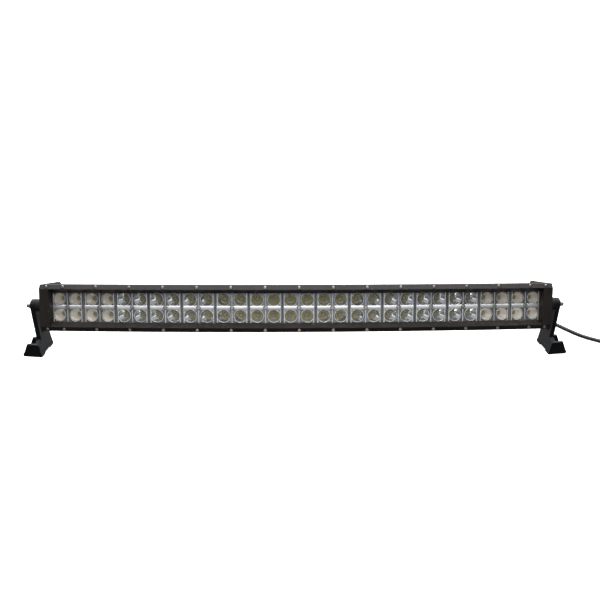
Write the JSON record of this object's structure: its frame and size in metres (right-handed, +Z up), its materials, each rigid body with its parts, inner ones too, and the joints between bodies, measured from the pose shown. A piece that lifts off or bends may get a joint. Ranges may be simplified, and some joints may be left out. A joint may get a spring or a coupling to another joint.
{
  "type": "led light bar",
  "caption": "Curved double-row LED light bar with finned housing, clear lens, moulded reflectors, two swivel feet and a sealed cable.",
  "frame": {"origin": "bottom centre of the box of the bar and its feet, on the surface that the feet stand on", "axes": "+X along the bar, towards the end that the cable leaves; the face looks towards -Y and up by 23.5 degrees; +Z up"},
  "size_m": [1.0502, 0.1874, 0.1371],
  "materials": {
    "black_coat": "satin black powder coat on aluminium",
    "clear_lens": "clear polycarbonate",
    "black_rubber": "moulded rubber",
    "reflector_chrome": "moulded plastic with vacuum-coated aluminium",
    "board_white": "white solder mask on an aluminium board",
    "led_phosphor": "yellow phosphor under a clear dome",
    "bright_steel": "bright stainless steel",
    "black_nylon": "moulded nylon",
    "cable_jacket": "smooth rubber jacket",
    "circuit_board": "green solder mask",
    "ferrite": "sintered ferrite",
    "capacitor_can": "sleeved aluminium can"
  },
  "bodies": {
    "bar": {"bezel_bottom": "black_coat", "bezel_end_left": "black_coat", "bezel_end_right": "black_coat", "bezel_end_screws": "bright_steel", "bezel_screws_bottom": "bright_steel", "bezel_screws_top": "bright_steel", "bezel_top": "black_coat", "cable": "cable_jacket", "cable_boot": "black_rubber", "cable_coil": "cable_jacket", "connector": "black_nylon", "driver_board": "circuit_board", "driver_capacitors": "capacitor_can", "driver_inductors": "ferrite", "end_cap_gasket_left": "black_rubber", "end_cap_gasket_right": "black_rubber", "end_cap_left": "black_coat", "end_cap_right": "black_coat", "end_cap_screws_left": "bright_steel", "end_cap_screws_right": "bright_steel", "front_lens": "clear_lens", "gland_body": "black_nylon", "gland_nut": "black_nylon", "housing": "black_coat", "led_board_1": "board_white", "led_board_2": "board_white", "led_board_3": "board_white", "led_board_4": "board_white", "led_board_5": "board_white", "leds_1": "led_phosphor", "leds_2": "led_phosphor", "leds_3": "led_phosphor", "leds_4": "led_phosphor", "leds_5": "led_phosphor", "lens_gasket": "black_rubber", "pivot_bolt_left": "bright_steel", "pivot_bolt_right": "bright_steel", "pivot_bush_left": "black_coat", "pivot_bush_right": "black_coat", "pivot_washers_left": "bright_steel", "pivot_washers_right": "bright_steel", "reflector_01": "reflector_chrome", "reflector_02": "reflector_chrome", "reflector_03": "reflector_chrome", "reflector_04": "reflector_chrome", "reflector_05": "reflector_chrome", "reflector_06": "reflector_chrome", "reflector_07": "reflector_chrome", "reflector_08": "reflector_chrome", "reflector_09": "reflector_chrome", "reflector_10": "reflector_chrome", "reflector_11": "reflector_chrome", "reflector_12": "reflector_chrome", "reflector_13": "reflector_chrome", "reflector_14": "reflector_chrome", "reflector_15": "reflector_chrome", "reflector_screws": "bright_steel"},
    "left_bracket": {"bracket_left": "black_coat"},
    "right_bracket": {"bracket_right": "black_coat"}
  },
  "joints": [
    {"name": "left_bracket_pivot", "type": "hinge", "parent": "bar", "child": "left_bracket", "pos_m": [-0.38352, 0.01165, 0.082], "axis": [0.9917, -0.118, 0.0513], "range_deg": [-113.5, 66.5]},
    {"name": "right_bracket_pivot", "type": "hinge", "parent": "bar", "child": "right_bracket", "pos_m": [0.38352, 0.01165, 0.082], "axis": [0.9917, 0.118, -0.0513], "range_deg": [-113.5, 66.5]}
  ]
}
